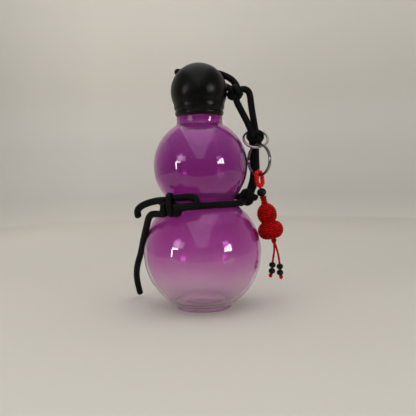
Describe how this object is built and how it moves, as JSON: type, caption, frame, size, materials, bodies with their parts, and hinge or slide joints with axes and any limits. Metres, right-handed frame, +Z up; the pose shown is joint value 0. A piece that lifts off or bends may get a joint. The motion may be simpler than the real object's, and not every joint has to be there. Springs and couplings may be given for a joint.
{
  "type": "gourd water bottle",
  "caption": "Double-gourd glass bottle with a ball screw cap, a knotted carrying cord and a ring-hung knitted gourd charm with beaded strings.",
  "frame": {"origin": "on the bottle's axis, on the surface that its foot ring stands on", "axes": "+Z up along the bottle's axis to the cap, -Y towards the front, +X to the side where the rings and the charm hang"},
  "size_m": [0.1299, 0.098, 0.2018],
  "materials": {
    "glass": "translucent tint",
    "cap": "satin black",
    "liner": "moulded",
    "seal": "soft",
    "black_cord": "braided",
    "ring": "plated",
    "red_cord": "knitted",
    "bead": "polished"
  },
  "bodies": {
    "bottle": {"glass_bottle": "glass"},
    "harness": {"strap_strand_inner": "black_cord", "strap_strand_outer": "black_cord", "ring_knot": "black_cord", "strap_leg_front": "black_cord", "strap_leg_back": "black_cord", "waist_knot": "black_cord", "waist_knot_end": "black_cord", "waist_cord_front": "black_cord", "waist_cord_back": "black_cord", "bow_knot": "black_cord", "bow_loop": "black_cord", "short_tail": "black_cord", "long_tail": "black_cord"},
    "cap": {"cap_shell": "cap", "cap_liner": "liner", "cap_seal": "seal", "cap_cord_loop": "black_cord", "cap_knot": "black_cord"},
    "upper_ring": {"upper_ring": "ring"},
    "lower_ring": {"lower_ring": "ring"},
    "charm": {"charm_loop": "red_cord", "charm_cord": "red_cord", "charm_bead": "bead", "charm_gourd": "red_cord", "tassel_knot": "red_cord"},
    "left_tassel": {"left_string": "red_cord", "left_upper_bead": "bead", "left_lower_bead": "bead", "left_end_knot": "red_cord"},
    "right_tassel": {"right_string": "red_cord", "right_upper_bead": "bead", "right_lower_bead": "bead", "right_end_knot": "red_cord"}
  },
  "joints": [
    {"name": "cap_turn", "type": "hinge", "parent": "bottle", "child": "harness", "pos_m": [0, 0, 0.1787], "axis": [0, 0, 1], "range_deg": [0, 1080]},
    {"name": "cap_lift", "type": "slide", "parent": "harness", "child": "cap", "axis": [0, 0, 1], "range_m": [0, 0.01201]},
    {"name": "upper_ring_swing", "type": "hinge", "parent": "harness", "child": "upper_ring", "pos_m": [0.0461, 0.00636, 0.14702], "axis": [-1, 0, 0], "range_deg": [0, 35]},
    {"name": "lower_ring_swing", "type": "hinge", "parent": "upper_ring", "child": "lower_ring", "pos_m": [0.0473, -0.0063, 0.1318], "axis": [-1, 0, 0], "range_deg": [0, 40]},
    {"name": "charm_swing", "type": "hinge", "parent": "lower_ring", "child": "charm", "pos_m": [0.0478, -0.0063, 0.1087], "axis": [0.6, -0.8, 0], "range_deg": [0, 50]},
    {"name": "left_string_swing", "type": "hinge", "parent": "charm", "child": "left_tassel", "pos_m": [0.05877, -0.0063, 0.05454], "axis": [1, 0, 0], "range_deg": [-60, 60]},
    {"name": "right_string_swing", "type": "hinge", "parent": "charm", "child": "right_tassel", "pos_m": [0.05877, -0.0063, 0.05454], "axis": [1, 0, 0], "range_deg": [-60, 60]}
  ],
  "couplings": [
    {"joint": "cap_lift", "follows": "cap_turn", "m_per_rad": 0.00063662}
  ]
}
